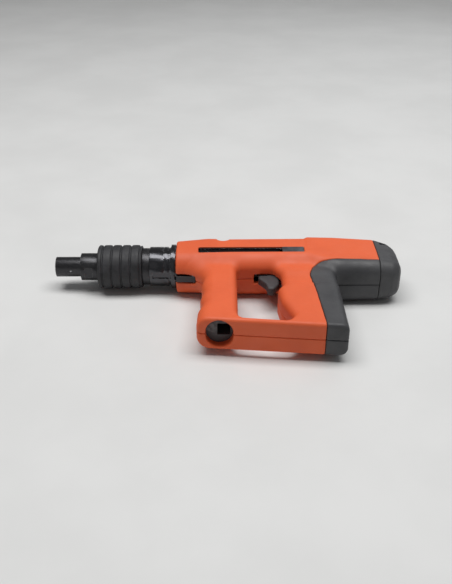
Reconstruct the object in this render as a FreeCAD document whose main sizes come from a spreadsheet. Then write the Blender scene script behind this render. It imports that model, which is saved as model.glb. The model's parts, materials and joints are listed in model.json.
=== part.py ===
import FreeCAD, Part
import math
import os
from FreeCAD import Vector

# Powder-actuated nail gun, strip-fed, lying on its right flank.
# X runs from the muzzle tip (x = 0) to the butt, Y towards the top of the tool and -Y along the grips,
# Z out of the left flank. The bore axis is the X axis. All sizes are millimetres.

DIMS = {
    # barrel group, front to back
    "guide_radius": 10.2, "guide_bore": 4.1, "guide_length": 50.0, "guide_flange": 12.9,
    "collar_front": 26.0, "collar_back": 44.0, "collar_radius": 14.0,
    "sleeve_back": 89.0, "sleeve_radius": 22.5, "rib_depth": 1.9, "rib_pitch": 9.5,
    "base_radius": 16.0, "neck_radius": 19.0, "neck_back": 97.0, "base_step": 60.0,
    "tube_radius": 20.3, "tube_inner": 17.8, "tube_solid_back": 166.0, "tube_back": 229.0,
    "tube_flange_back": 103.0, "arm_half": 12.0, "arm_hole": 1.8, "groove_front": 100.0, "groove_half": 3.4,
    "barrel_radius": 14.0, "piston_bore": 8.0, "front_bore": 5.0, "bore_step": 86.0,
    "chamber_front": 160.0, "chamber_radius": 3.6,
    "buffer_back": 96.0, "washer_back": 98.0,
    "head_front": 150.0, "head_length": 9.5, "shank_tip": 52.0, "shank_radius": 4.03,
    "ring_width": 1.2, "run_gap": 0.05,
    # receiver and firing group
    "receiver_front": 119.0, "receiver_back": 262.0, "receiver_radius": 21.8,
    "rim_radius": 22.6, "rim_back": 123.5,
    "breech_face": 178.0, "breech_radius": 16.5, "pin_bore": 6.6, "pin_step": 197.0,
    "pin_tip_radius": 2.2, "pin_shoulder": 200.0, "pin_back": 236.0,
    "plug_front": 259.0, "plug_back": 266.0, "plug_radius": 10.0, "rear_pad_back": 276.0,
    # strip passage and feed
    "strip_front": 166.0, "strip_back": 178.0, "strip_half": 6.0, "guide_wall": 1.5,
    # housing
    "cap_seam": 327.5, "body_half": 24.2, "grip_half": 17.0, "grip_edge": 2.6,
    "housing_bore": 21.85, "wall": 3.0,
    "slot_front": 147.0, "slot_back": 254.0, "slot_low": -12.5, "slot_high": -2.5,
    "notch_back": 146.0, "notch_half": 4.8, "scoop_centre": 172.0, "scoop_radius": 6.0, "scoop_y": 17.6,
    "mouth_centre": 168.0, "mouth_radius": 12.5, "mouth_shift": 1.9, "mouth_top": -114.0,
    # pivots
    "trigger_x": 221.0, "trigger_y": -23.5, "trigger_half": 4.5,
    "sear_x": 236.0, "sear_y": -12.0, "sear_half": 2.4,
    "catch_x": 142.0, "catch_y": -25.0, "catch_half": 3.2,
    "lug_back": 342.0, "lug_half": 10.0, "cap_screw_x": 336.5, "cap_screw_y": 8.5,
    "pivot_radius": 1.5, "sear_pivot": 1.2,
    "boss_radius": 3.8, "screw_radius": 1.6, "screw_head": 3.2, "head_height": 2.4,
}

TOP_Y = 60.0      # a height above the whole tool, for cutting shapes
REACH = 400.0     # and a length past its butt

doc = FreeCAD.newDocument("nail_gun")
sheet = doc.addObject("Spreadsheet::Sheet", "Dims")
for row, (alias, value) in enumerate(DIMS.items(), start=1):
    sheet.set(f"A{row}", alias)
    sheet.set(f"B{row}", str(value))
    sheet.setAlias(f"B{row}", alias)
doc.recompute()

PARTS = []        # every sub-part, in the order it is made


def size(name):
    """The value of a driving dimension."""
    return float(getattr(sheet, name))


def bind(obj, **links):
    """Ties properties to sheet cells; Base_x stands for Placement.Base.x."""
    for prop, formula in links.items():
        path = "Placement.Base." + prop[-1] if prop.startswith("Base_") else prop
        text = str(formula)
        for alias in sorted(DIMS, key=len, reverse=True):
            text = swap_word(text, alias)
        obj.setExpression(path, text)
    return obj


def swap_word(text, alias):
    """Puts the sheet's name before an alias where it stands as a whole word."""
    out = []
    for piece in text.split(" "):
        core = piece.strip("()")
        out.append(piece.replace(core, "Dims." + core) if core == alias else piece)
    return " ".join(out)


def rod(name, radius, front, back):
    """A cylinder about the bore axis between two stations along X."""
    obj = doc.addObject("Part::Cylinder", name)
    obj.Placement = FreeCAD.Placement(Vector(), FreeCAD.Rotation(Vector(0, 1, 0), 90))
    return bind(obj, Radius=radius, Height=f"{back} - {front}", Base_x=front)


def post(name, radius, at_x, at_y, low, high):
    """A cylinder along Z, such as a pivot pin."""
    obj = doc.addObject("Part::Cylinder", name)
    obj.Placement = FreeCAD.Placement(Vector(0, 0, low), FreeCAD.Rotation())
    return bind(obj, Radius=radius, Height=high - low, Base_x=at_x, Base_y=at_y)


def block(name, front, back, low_y, high_y, low_z, high_z):
    obj = doc.addObject("Part::Box", name)
    return bind(obj, Length=f"{back} - ( {front} )", Width=f"{high_y} - ( {low_y} )",
                Height=f"{high_z} - ( {low_z} )", Base_x=front, Base_y=low_y, Base_z=low_z)


def fuse(name, shapes):
    obj = doc.addObject("Part::MultiFuse", name)
    obj.Shapes = shapes
    return obj


def cut(name, base, tools):
    """base less every tool."""
    obj = doc.addObject("Part::Cut", name)
    obj.Base = base
    obj.Tool = tools[0] if len(tools) == 1 else fuse(name + "_tools", tools)
    return obj


def common(name, base, tool):
    obj = doc.addObject("Part::Common", name)
    obj.Base = base
    obj.Tool = tool
    return obj


def keep(obj, label):
    """Registers a finished sub-part under its node name."""
    obj.Label = label
    PARTS.append(obj)
    return obj


def rounded(corners):
    """Lines and arcs of a closed outline from (x, y, corner radius)."""
    count = len(corners)
    spots = []
    for i, (x, y, radius) in enumerate(corners):
        here = Vector(x, y, 0)
        back = Vector(*corners[i - 1][:2], 0) - here
        ahead = Vector(*corners[(i + 1) % count][:2], 0) - here
        back.normalize()
        ahead.normalize()
        half = back.getAngle(ahead) / 2
        reach = radius / math.tan(half)
        middle = (back + ahead).normalize() if radius else Vector()
        centre = here + middle * (radius / math.sin(half)) if radius else here
        spots.append((here + back * reach, centre - middle * radius, here + ahead * reach))
    edges = []
    for i, (start, mid, end) in enumerate(spots):
        if corners[i][2]:
            edges.append(Part.Arc(start, mid, end))
        edges.append(Part.LineSegment(end, spots[(i + 1) % count][0]))
    return edges


def sketch(name, outlines, placement=None):
    obj = doc.addObject("Sketcher::SketchObject", name)
    for outline in outlines:
        obj.addGeometry(rounded(outline), False)
    if placement:
        obj.Placement = placement
    return obj


def plate(name, outlines, half):
    """A side outline extruded to both sides of the middle plane; half is half its thickness."""
    obj = doc.addObject("Part::Extrusion", name)
    obj.Base = sketch(name + "_outline", outlines)
    obj.DirMode = "Normal"
    obj.Solid = True
    obj.Symmetric = True
    return bind(obj, LengthFwd=f"2 * {half}")


def spring(label, radius, wire, turns, length, base, turn_to):
    """A coil whose axis starts at base and points along turn_to."""
    coil = doc.addObject("Part::Helix", label + "_helix")
    coil.Radius = radius
    coil.Pitch = (length - 2 * wire) / turns
    coil.Height = length - 2 * wire
    coil.SegmentLength = 1          # one edge a turn, so that the swept faces stay true
    section = doc.addObject("Part::Circle", label + "_wire")
    section.Radius = wire
    section.Placement = FreeCAD.Placement(Vector(radius, 0, 0), FreeCAD.Rotation(Vector(1, 0, 0), 90))
    obj = doc.addObject("Part::Sweep", label + "_sweep")
    obj.Sections = [section]
    obj.Spine = (coil, [f"Edge{k + 1}" for k in range(turns)])
    obj.Solid = True
    obj.Frenet = True
    along = Vector(*turn_to)
    turn = FreeCAD.Rotation(Vector(0, 0, 1), along)
    obj.Placement = FreeCAD.Placement(Vector(*base) + along * wire, turn)
    return keep(obj, label)


# ---------------------------------------------------------------- barrel group

def make_fastener_guide():
    tube = fuse("guide_body", [
        rod("guide_nose", "guide_radius", 0, "collar_back"),
        rod("guide_foot", "guide_flange", "collar_back", "guide_length"),
    ])
    bore = rod("guide_hole", "guide_bore", -1, "guide_length + 1")
    seat = doc.addObject("Part::Cylinder", "guide_detent_hole")
    seat.Radius = 1.5
    seat.Height = 8
    seat.Placement = FreeCAD.Placement(Vector(15.5, -5.2, 0), FreeCAD.Rotation(Vector(1, 0, 0), 90))
    keep(cut("guide", tube, [bore, seat]), "fastener_guide")


def make_detent():
    ball = doc.addObject("Part::Sphere", "detent")
    ball.Radius = 1.45
    ball.Placement.Base = Vector(15.5, -8.9, 0)
    keep(ball, "detent_ball")


def make_collar():
    ring = rod("collar_body", "collar_radius", "collar_front", "collar_back")
    hole = rod("collar_hole", "guide_radius + run_gap", 20, 50)
    flats = [block(f"collar_flat_{k}", 30, 38, low, low + 3, -20, 20) for k, low in ((0, 12.9), (1, -15.9))]
    keep(cut("collar", ring, [hole] + flats), "base_collar")


def make_rubber_sleeve():
    body = rod("grip_body", "sleeve_radius", "collar_back", "sleeve_back")
    cuts = [
        rod("grip_core_front", "collar_radius", 40, "collar_back + 3"),
        rod("grip_core", "base_radius", "collar_back + 3", 95),
    ]
    first, grooves, groove_width = 49.0, 5, 2.6
    for k in range(grooves):
        front = f"{first + k * size('rib_pitch')}"
        ring = cut(f"rib_gap_{k}", rod(f"rib_gap_outer_{k}", 30, front, f"{front} + {groove_width}"),
                   [rod(f"rib_gap_inner_{k}", "sleeve_radius - rib_depth", 30, 100)])
        cuts.append(ring)
    keep(cut("grip_sleeve", body, cuts), "rubber_sleeve")


def make_muzzle_base():
    body = fuse("base_body", [
        rod("base_front", "base_radius - run_gap", "collar_back + 3", "sleeve_back"),
        rod("base_neck", "neck_radius", "sleeve_back", "neck_back"),
    ])
    cuts = [
        rod("base_flange_seat", "guide_flange + run_gap", 40, "guide_length"),
        rod("base_bore", "front_bore", 40, 70),
        rod("base_barrel_seat", "barrel_radius", "base_step", 120),
    ]
    keep(cut("muzzle_block", body, cuts), "muzzle_base")


def make_barrel_tube():
    body = rod("tube_outer", "tube_radius", "neck_back", "tube_back")
    high = [block(f"tube_gap_{k}", "tube_solid_back", 240, low, high_y, -30, 30)
            for k, low, high_y in ((0, "arm_half", 30), (1, -30, "-1 * arm_half"))]
    cuts = [
        rod("tube_hole", "tube_inner", "tube_flange_back", 240),
        rod("tube_seat", "barrel_radius", 90, 110),
        block("tube_groove", "groove_front", "tube_solid_back + 1", -30, -18.6,
              "-1 * groove_half", "groove_half"),
        cut("tube_line", rod("tube_line_outer", 30, 111.2, 112),
            [rod("tube_line_inner", "tube_radius - 0.3", 100, 120)]),
        cut("tube_ring_groove", rod("tube_ring_outer", 30, 116.2, 118),
            [rod("tube_ring_inner", "tube_radius - 1", 100, 130)]),
    ]
    holes = [post(f"arm_hole_{k}", "arm_hole", 176 + 17 * k, "( slot_low + slot_high ) / 2", 0, 30)
             for k in range(3)]
    keep(cut("tube", body, cuts + high + holes), "barrel_tube")


def make_inner_barrel():
    body = rod("barrel_outer", "barrel_radius", "base_step", "tube_solid_back")
    cuts = [
        rod("barrel_front_bore", "front_bore", 55, "bore_step"),
        rod("barrel_bore", "piston_bore", "bore_step", "chamber_front"),
        rod("barrel_chamber", "chamber_radius", "chamber_front", 170),
    ]
    keep(cut("inner_tube", body, cuts), "inner_barrel")


def ring(name, outer, inner, front, back):
    return cut(name, rod(name + "_outer", outer, front, back), [rod(name + "_hole", inner, 0, REACH)])


def make_barrel_rings():
    keep(ring("centre_ring", "tube_inner", "barrel_radius", 154, 162), "barrel_centring_ring")
    keep(ring("buffer", "piston_bore", "shank_radius + 0.4", "bore_step", "buffer_back"), "piston_buffer")
    keep(ring("washer", "piston_bore", "shank_radius + 0.2", "buffer_back", "washer_back"), "stop_washer")


def make_piston():
    head = rod("piston_head", "piston_bore - run_gap", "head_front", "head_front + head_length")
    shank = rod("piston_shank", "shank_radius", "shank_tip", "head_front")
    gaps = [ring(f"piston_gap_{k}", 12, "piston_bore - 1.1", at, f"{at} + ring_width")
            for k, at in enumerate((151.6, 155.0))]
    keep(cut("piston_turned", fuse("piston_body", [head, shank]), gaps), "piston")
    rings = [ring(f"piston_ring_{k}", "piston_bore - 0.02", "piston_bore - 1.1", at, f"{at} + ring_width")
             for k, at in enumerate((151.6, 155.0))]
    keep(fuse("ring_pair", rings), "piston_rings")


# ---------------------------------------------------------------- receiver and firing group

def make_receiver():
    body = fuse("receiver_body", [
        rod("receiver_outer", "receiver_radius", "receiver_front", "receiver_back"),
        rod("receiver_rim", "rim_radius", "receiver_front", "rim_back"),
    ])
    cuts = [
        rod("receiver_hole", "tube_radius + run_gap", 100, 300),
        block("receiver_slot", "slot_front", "slot_back", "slot_low", "slot_high", 10, 30),
        block("receiver_strip", "strip_front - 0.5", "strip_back + 0.5", -40, 40, -6.5, 6.5),
        block("receiver_trigger", 203, 238, -40, 0, -7, 7),
        block("receiver_catch", 122.5, 131, -40, 0, -3.6, 3.6),
    ]
    keep(cut("receiver", body, cuts), "receiver_sleeve")


def make_slot_guide():
    keep(block("slot_plate", 232, "slot_back", "slot_low", "slot_high", 20.4, 23.6), "slot_guide")


def make_breech():
    body = fuse("breech_body", [
        rod("breech_front", "breech_radius", "breech_face", "receiver_back"),
        rod("breech_flange", "tube_radius", 256, "receiver_back"),
    ])
    cuts = [
        rod("breech_tip_hole", "pin_tip_radius + run_gap", 170, 210),
        rod("breech_bore", "pin_bore", "pin_step", 270),
        block("breech_sear_slot", 205, 241, -30, 0, -2.8, 2.8),
        post("breech_sear_hole", "sear_pivot", "sear_x", "sear_y", -30, 30),
    ]
    keep(cut("breech", body, cuts), "breech_block")


def make_firing_pin():
    body = fuse("firing_body", [
        rod("firing_tip", "pin_tip_radius", "breech_face + 0.2", "pin_shoulder"),
        rod("firing_shaft", "pin_bore - run_gap", "pin_shoulder", "pin_back"),
        rod("firing_stem", 3.2, "pin_back", "pin_back + 8"),
    ])
    keep(body, "firing_pin")


def make_plug():
    body = fuse("plug_body", [
        rod("plug_stem", "pin_bore", "plug_front", "receiver_back"),
        rod("plug_head", "plug_radius", "receiver_back", "plug_back"),
    ])
    slot = block("plug_slot", 265, 270, -1, 1, -12, 12)
    keep(cut("plug", body, [slot]), "spring_plug")
    pad = ring("rear_pad", 14, 5.5, "plug_back", "rear_pad_back")
    keep(pad, "rear_buffer")


# ---------------------------------------------------------------- trigger, sear, catch, feed

def make_trigger():
    outline = [
        (217.0, -17.5, 0.8), (224.4, -20.6, 2), (228.0, -30, 5), (227.2, -43, 8), (221.5, -52.6, 3),
        (215.4, -52.6, 2.5), (214.0, -42.5, 14), (207.0, -32.0, 3), (207.4, -26.7, 1), (216.0, -26.7, 1),
    ]
    blade = plate("trigger_blade", [outline], "trigger_half")
    hole = post("trigger_hole", "pivot_radius + run_gap", "trigger_x", "trigger_y", -10, 10)
    keep(cut("trigger_cut", blade, [hole]), "trigger")
    pin = post("trigger_pin_body", "pivot_radius", "trigger_x", "trigger_y", -12, 12)
    keep(pin, "trigger_pin")


def make_sear():
    outline = [
        (239.5, -9.4, 1), (239.5, -14.6, 2), (216.0, -16.0, 1.5), (209.8, -12.6, 1.5), (209.8, -7.1, 0.5),
        (212.8, -7.1, 0.5), (216.5, -10.4, 2),
    ]
    lever = plate("sear_lever", [outline], "sear_half")
    hole = post("sear_hole", "sear_pivot + run_gap", "sear_x", "sear_y", -10, 10)
    keep(cut("sear_cut", lever, [hole]), "sear")
    keep(post("sear_pin_body", "sear_pivot", "sear_x", "sear_y", -8, 8), "sear_pin")


def make_catch():
    outline = [
        (145.6, -23.2, 0.8), (144.6, -27.4, 1.5), (124.4, -26.8, 1), (124.4, -18.9, 0.4), (128.2, -18.9, 0.4),
        (130.6, -22.6, 1),
    ]
    lever = plate("catch_lever", [outline], "catch_half")
    hole = post("catch_hole", "sear_pivot + run_gap", "catch_x", "catch_y", -10, 10)
    keep(cut("catch_cut", lever, [hole]), "barrel_catch")
    keep(post("catch_pin_body", "sear_pivot", "catch_x", "catch_y", -9, 9), "catch_pin")


def well(name, radius, top, depth):
    """The rounded well in the foot of the fore grip, open downwards."""
    halves = []
    for k, side in enumerate((-1, 1)):
        half = doc.addObject("Part::Cylinder", f"{name}_{k}")
        half.Height = depth
        half.Placement = FreeCAD.Placement(Vector(), FreeCAD.Rotation(Vector(1, 0, 0), 90))
        bind(half, Radius=radius, Base_x="mouth_centre", Base_y=top, Base_z=f"{side} * mouth_shift")
        halves.append(half)
    return fuse(name, halves)


def make_strip_guide():
    wall = "guide_wall"
    front, back = f"strip_front - {wall}", f"strip_back + {wall}"
    tube = block("strip_tube", front, back, "mouth_top - 3", -22.2, -7.5, 7.5)
    lip = well("strip_lip", "mouth_radius - 0.2", "mouth_top - 0.6", 2.4)
    hole = block("strip_hole", "strip_front", "strip_back", -130, 0, "-1 * strip_half", "strip_half")
    window = block("strip_pawl_window", 160, "strip_front", -92, -50, -2.5, 2.5)
    keep(cut("strip_channel", fuse("strip_walls", [tube, lip]), [hole, window]), "strip_guide")


def make_feed_slide():
    body = block("feed_body", 156.0, 162.0, -86, -66, -4, 4)
    tooth = block("feed_tooth", 162.0, 165.6, -70, -66, -2, 2)
    keep(fuse("feed", [body, tooth]), "feed_slide")


# ---------------------------------------------------------------- housing

BOTTOM_FRONT = (147.0, -124.0)     # front lower corner of the fore grip
BOTTOM_REAR = (283.5, -138.5)      # rear lower corner of the main grip
BACKSTRAP_X = 283.5


def handle_outline():
    """Fore grip, bottom bridge and main grip as one outline; its top lies inside the barrel casing."""
    finger_grooves = [
        (150.6, -56, 12), (152.4, -69, 12), (149.6, -82, 12), (151.6, -92.5, 10), (147.8, -104, 10),
    ]
    return [
        (136.0, -8, 0), (136.0, -25, 0), (153.6, -38, 14)] + finger_grooves + [
        (*BOTTOM_FRONT, 5), (*BOTTOM_REAR, 8), (BACKSTRAP_X, -36, 7), (300.0, -36, 0), (300.0, -8, 0),
    ]


def hand_opening():
    return [
        (185.0, -25.9, 7), (221.0, -25.9, 8), (229.0, -40, 14), (229.0, -62, 5), (223.5, -70, 10),
        (226.0, -92, 20), (238.5, -128.2, 8), (185.0, -121.8, 7),
    ]


CASING = (       # station, top, bottom, half thickness before trimming, corner radius
    (124.0, 24.4, -26.0, 24.5, 19.5), (157.0, 28.5, -26.0, 24.5, 17.0), (181.0, 25.5, -26.0, 24.5, 15.0),
    (257.0, 25.5, -26.0, 24.5, 14.0), (259.0, 28.2, -26.5, 24.5, 14.0), (286.0, 26.8, -40.0, 24.5, 14.0),
    (327.5, 24.0, -40.0, 22.8, 14.0), (341.0, 17.5, -38.5, 20.5, 12.0), (347.5, 9.5, -35.0, 17.0, 9.0),
    (350.0, 2.0, -30.0, 13.0, 6.0),
)


def make_casing():
    """Rounded sections lofted along the bore axis, then trimmed to flat flanks."""
    sections = []
    for k, (station, top, bottom, half, radius) in enumerate(CASING):
        corners = [(top, half, radius), (bottom, half, radius), (bottom, -half, radius), (top, -half, radius)]
        place = FreeCAD.Placement(Vector(station, 0, 0), FreeCAD.Rotation(Vector(1, 1, 1), 120))
        sections.append(sketch(f"casing_section_{k}", [corners], place))
    loft = doc.addObject("Part::Loft", "casing_loft")
    loft.Sections = sections
    loft.Solid = True
    loft.Ruled = True
    flanks = block("flanks", 0, REACH, -TOP_Y, TOP_Y, "-1 * body_half", "body_half")
    return common("casing", loft, flanks)


def flank_edges(shape, half):
    """Numbers of the edges in either flank plane that show below the casing."""
    found = []
    for k, edge in enumerate(shape.Edges, start=1):
        heights = [v.Point.z for v in edge.Vertexes]
        level = all(abs(h - half) < 1e-4 for h in heights) or all(abs(h + half) < 1e-4 for h in heights)
        if level and all(v.Point.y < -24.5 for v in edge.Vertexes):
            found.append(k)
    return found


def make_handle():
    slab = plate("handle_slab", [handle_outline(), hand_opening()], "grip_half")
    doc.recompute()
    soft = doc.addObject("Part::Fillet", "handle")
    soft.Base = slab
    radius = size("grip_edge")
    soft.Edges = [(k, radius, radius) for k in flank_edges(slab.Shape, size("grip_half"))]
    return soft


SCREWS = (       # x, y, depth of the head's outer face below the middle plane
    (158.5, -110.2, 15.0), (158.5, -34.0, 15.0), (246.0, -33.0, 15.0), (250.5, -121.0, 15.0),
    (300.0, 10.0, 20.5), (306.0, -31.0, 18.5), (273.0, -105.0, 15.0),
)
SCREW_REACH = 12.0


def boss_columns():
    columns = []
    for k, (at_x, at_y, head) in enumerate(SCREWS):
        columns.append(post(f"boss_{k}", "boss_radius", at_x, at_y, -30, 30))
    return columns


def make_cavities():
    """Everything hollow inside the housing, less the columns that take the screws."""
    inner = size("grip_half") - size("wall")
    hollow = [
        rod("hollow_receiver", "housing_bore", 110, "receiver_back"),
        rod("hollow_rim", "rim_radius", 110, "rim_back + 0.6"),
        block("hollow_rear", "receiver_back", "rear_pad_back", -22, 17, -17, 17),
        block("hollow_butt", "rear_pad_back + wall", 325, -22, 17, -17, 17),
        block("hollow_rear_low", 290, 325, -35, -22, -17, 17),
        plate("hollow_fore", [[(154.5, -10, 0), (181.5, -10, 0),
                               (181.5, -112.2, 3), (154.5, -112.2, 3)]], inner),
        plate("hollow_grip", [[(229, -72, 3), (279, -64, 3), (279.5, -133, 3), (243.5, -130, 3),
                               (231.5, -94, 6)]], inner),
        plate("hollow_grip_top", [[(241, -30, 2), (279, -30, 2), (279, -60, 2), (241, -60, 2)]], inner),
    ]
    return cut("hollow", fuse("hollow_all", hollow), boss_columns())


def make_openings():
    """Slots, windows and holes cut through the housing walls."""
    cuts = [
        well("mouth", "mouth_radius", "mouth_top", 40),
        block("strip_way", "strip_front - guide_wall - 0.1", "strip_back + guide_wall + 0.1",
              -120, -25, -7.6, 7.6),
        block("notch", 100, "notch_back", -30, -15, "-1 * notch_half", "notch_half"),
        block("flank_slot", "slot_front", "slot_back", "slot_low", "slot_high", 10, 30),
        block("strip_exit", "strip_front - 0.3", "strip_back + 0.3", 0, TOP_Y, -6.3, 6.3),
        post("scoop", "scoop_radius", "scoop_centre", "scoop_y", -30, 30),
        block("scoop_top", "scoop_centre - scoop_radius", "scoop_centre + scoop_radius",
              "scoop_y", TOP_Y, -30, 30),
        block("trigger_slot", 203, 237, -58, -15, -5.2, 5.2),
        post("trigger_pin_hole", "pivot_radius", "trigger_x", "trigger_y", -12, 12),
        post("catch_pin_hole", "sear_pivot", "catch_x", "catch_y", -9, 9),
    ]
    for k, (at_x, at_y, head) in enumerate(SCREWS):
        cuts.append(post(f"screw_hole_{k}", "screw_radius", at_x, at_y, -head, SCREW_REACH))
        cuts.append(post(f"screw_sink_{k}", "screw_head", at_x, at_y, -40, -head + size("head_height")))
    return fuse("openings", cuts)


def dark_region():
    """Backstrap and rear underside, seen from the side."""
    return [
        (264.5, -160, 0), (260.0, -79, 30), (256.8, -44, 12), (262.5, -27.0, 12), (REACH, -27.0, 0),
        (REACH, -160, 0),
    ]


def make_lug():
    """The tongue behind the seam that the butt cap slides over and is screwed to."""
    tongue = block("lug_body", "cap_seam - 1", "lug_back", -16, 13, "-1 * lug_half", "lug_half")
    return cut("lug", tongue, [post("lug_hole", "screw_radius", "cap_screw_x", "cap_screw_y", -30, 30)])


def make_housing():
    outer = fuse("outer_form", [make_casing(), make_handle()])
    shell = cut("shell", outer, [make_cavities(), make_openings()])
    front = cut("front_shell", shell, [block("behind_seam", "cap_seam", REACH, -TOP_Y, TOP_Y, -40, 40)])
    dark = plate("dark_region", [dark_region()], 40)
    orange = fuse("orange_shell", [cut("orange_front", front, [dark]), make_lug()])
    black = common("black_shell", front, dark)
    halves = (("left", 0, 40), ("right", -40, 0))
    for side, low, high in halves:
        space = block(f"half_{side}", 0, REACH, -200, 100, low, high)
        keep(common(f"orange_{side}", orange, space), f"housing_{side}")
        keep(common(f"black_{side}", black, space), f"backstrap_{side}")
    cap = common("cap_whole", shell, block("past_seam", "cap_seam", REACH, -TOP_Y, TOP_Y, -40, 40))
    pocket = block("cap_pocket", 300, "lug_back + 0.3", -16.3, 13.3, "-1 * lug_half - 0.3", "lug_half + 0.3")
    hole = post("cap_hole", "screw_radius", "cap_screw_x", "cap_screw_y", -30, 30)
    sinks = [post(f"cap_sink_{k}", "screw_head", "cap_screw_x", "cap_screw_y", low, low + 20)
             for k, low in ((0, -36.5), (1, 16.5))]
    keep(cut("cap", cap, [pocket, hole] + sinks), "butt_cap")


def make_screws():
    screws = []
    for k, (at_x, at_y, head) in enumerate(SCREWS):
        face = -head + size("head_height")
        top = post(f"screw_head_{k}", "screw_head", at_x, at_y, -head, face)
        shank = post(f"screw_shank_{k}", "screw_radius", at_x, at_y, face, SCREW_REACH)
        slot = block(f"screw_slot_{k}", at_x - 2.4, at_x + 2.4, at_y - 0.4, at_y + 0.4, -head - 1, -head + 1)
        screws.append(cut(f"screw_{k}", fuse(f"screw_whole_{k}", [top, shank]), [slot]))
    keep(fuse("screw_set", screws), "housing_screws")
    pair = []
    for k, (head_low, shank_low) in enumerate(((-18.5, -16.5), (16.5, 2.0))):
        head = post(f"cap_screw_head_{k}", "screw_head", "cap_screw_x", "cap_screw_y", head_low, head_low + 2)
        shank = post(f"cap_screw_shank_{k}", "screw_radius", "cap_screw_x", "cap_screw_y",
                     shank_low, shank_low + 14.5)
        pair.append(fuse(f"cap_screw_{k}", [head, shank]))
    keep(fuse("cap_screw_pair", pair), "cap_screws")


def make_springs():
    spring("press_spring", 19.0, 0.9, 5, 26.4, (229.3, 0, 0), (1, 0, 0))
    spring("firing_spring", 4.8, 0.7, 6, 22.6, (236.2, 0, 0), (1, 0, 0))
    spring("trigger_spring", 2.6, 0.4, 5, 8.6, (228.2, -37.0, 0), (1, 0, 0))
    spring("feed_spring", 2.4, 0.45, 7, 19.4, (159.0, -105.8, 0), (0, 1, 0))
    spring("catch_spring", 2.0, 0.2, 2, 1.5, (142.0, -25.0, 3.25), (0, 0, 1))


def export_parts():
    doc.recompute()
    for obj in doc.Objects:
        if "Invalid" in obj.State or "Error" in obj.State:
            raise RuntimeError(f"{obj.Label} failed: {obj.State}")
    os.makedirs("parts", exist_ok=True)
    for obj in PARTS:
        shape = obj.Shape
        if shape.isNull() or not shape.isValid():
            raise RuntimeError(f"{obj.Label} has no valid shape")
        box = shape.BoundBox
        print(f"{obj.Label:22s} solids {len(shape.Solids)} volume {shape.Volume:10.1f} "
              f"x {box.XMin:6.1f}..{box.XMax:6.1f} y {box.YMin:7.1f}..{box.YMax:6.1f} "
              f"z {box.ZMin:6.1f}..{box.ZMax:5.1f}")
        shape.exportStep(f"parts/{obj.Label}.step")


make_fastener_guide()
make_detent()
make_collar()
make_rubber_sleeve()
make_muzzle_base()
make_barrel_tube()
make_inner_barrel()
make_barrel_rings()
make_piston()
make_receiver()
make_slot_guide()
make_breech()
make_firing_pin()
make_plug()
make_trigger()
make_sear()
make_catch()
make_strip_guide()
make_feed_slide()
make_housing()
make_screws()
make_springs()
export_parts()
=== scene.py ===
import json
import math

import bpy
import numpy as np
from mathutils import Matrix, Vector


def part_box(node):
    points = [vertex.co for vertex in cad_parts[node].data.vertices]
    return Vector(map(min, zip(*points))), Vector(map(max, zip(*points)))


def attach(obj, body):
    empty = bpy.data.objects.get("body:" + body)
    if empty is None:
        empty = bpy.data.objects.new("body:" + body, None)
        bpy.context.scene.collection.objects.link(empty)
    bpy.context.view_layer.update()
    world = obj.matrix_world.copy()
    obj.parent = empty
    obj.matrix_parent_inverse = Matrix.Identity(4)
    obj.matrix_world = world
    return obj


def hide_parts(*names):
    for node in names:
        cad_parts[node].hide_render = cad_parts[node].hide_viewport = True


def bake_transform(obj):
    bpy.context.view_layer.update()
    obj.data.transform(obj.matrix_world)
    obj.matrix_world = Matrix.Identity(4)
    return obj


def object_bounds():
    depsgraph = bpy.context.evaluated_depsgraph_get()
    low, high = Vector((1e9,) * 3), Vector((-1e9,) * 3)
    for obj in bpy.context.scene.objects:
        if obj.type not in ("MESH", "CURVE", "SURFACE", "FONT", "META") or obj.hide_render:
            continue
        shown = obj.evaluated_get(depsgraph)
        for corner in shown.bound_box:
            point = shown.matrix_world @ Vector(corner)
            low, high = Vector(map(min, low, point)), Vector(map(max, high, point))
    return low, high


# Looks of a powder-actuated nail gun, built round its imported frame.
# X runs from the muzzle tip to the butt, Y to the top of the tool, Z out of its left flank.
# Shapes are worked out in millimetres and turned into metres when their mesh is made.

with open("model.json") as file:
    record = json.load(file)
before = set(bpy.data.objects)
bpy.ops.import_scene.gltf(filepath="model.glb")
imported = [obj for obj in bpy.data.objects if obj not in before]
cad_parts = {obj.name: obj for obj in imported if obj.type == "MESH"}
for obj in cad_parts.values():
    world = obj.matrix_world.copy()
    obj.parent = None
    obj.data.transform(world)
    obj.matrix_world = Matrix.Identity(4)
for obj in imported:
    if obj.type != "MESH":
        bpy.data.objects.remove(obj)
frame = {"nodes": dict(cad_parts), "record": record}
cad_box = [list(corner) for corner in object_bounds()]
NODES = frame["nodes"]
MM = 0.001


def span(node):
    """Lowest and highest corner of a CAD node in millimetres."""
    low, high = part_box(node)
    return np.array(low) / MM, np.array(high) / MM


# ---------------------------------------------------------------- distances to shapes, in millimetres

ARC_STEP = math.radians(6)


def arc_outline(corners):
    """Points of a closed outline given as (x, y, corner radius)."""
    points = []
    count = len(corners)
    for i, (x, y, radius) in enumerate(corners):
        here = np.array((x, y), float)
        back = np.array(corners[i - 1][:2], float) - here
        ahead = np.array(corners[(i + 1) % count][:2], float) - here
        back /= np.linalg.norm(back)
        ahead /= np.linalg.norm(ahead)
        if radius == 0:
            points.append(here)
            continue
        half = math.acos(np.clip(back @ ahead, -1, 1)) / 2
        reach = radius / math.tan(half)
        middle = (back + ahead) / np.linalg.norm(back + ahead)
        centre = here + middle * radius / math.sin(half)
        start = here + back * reach - centre
        end = here + ahead * reach - centre
        turn = math.copysign(math.pi - 2 * half, start[0] * end[1] - start[1] * end[0])
        steps = int(abs(turn) / ARC_STEP) + 2
        for k in range(steps + 1):
            c, s = math.cos(turn * k / steps), math.sin(turn * k / steps)
            points.append(centre + np.array((c * start[0] - s * start[1], s * start[0] + c * start[1])))
    return np.array(points)


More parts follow.
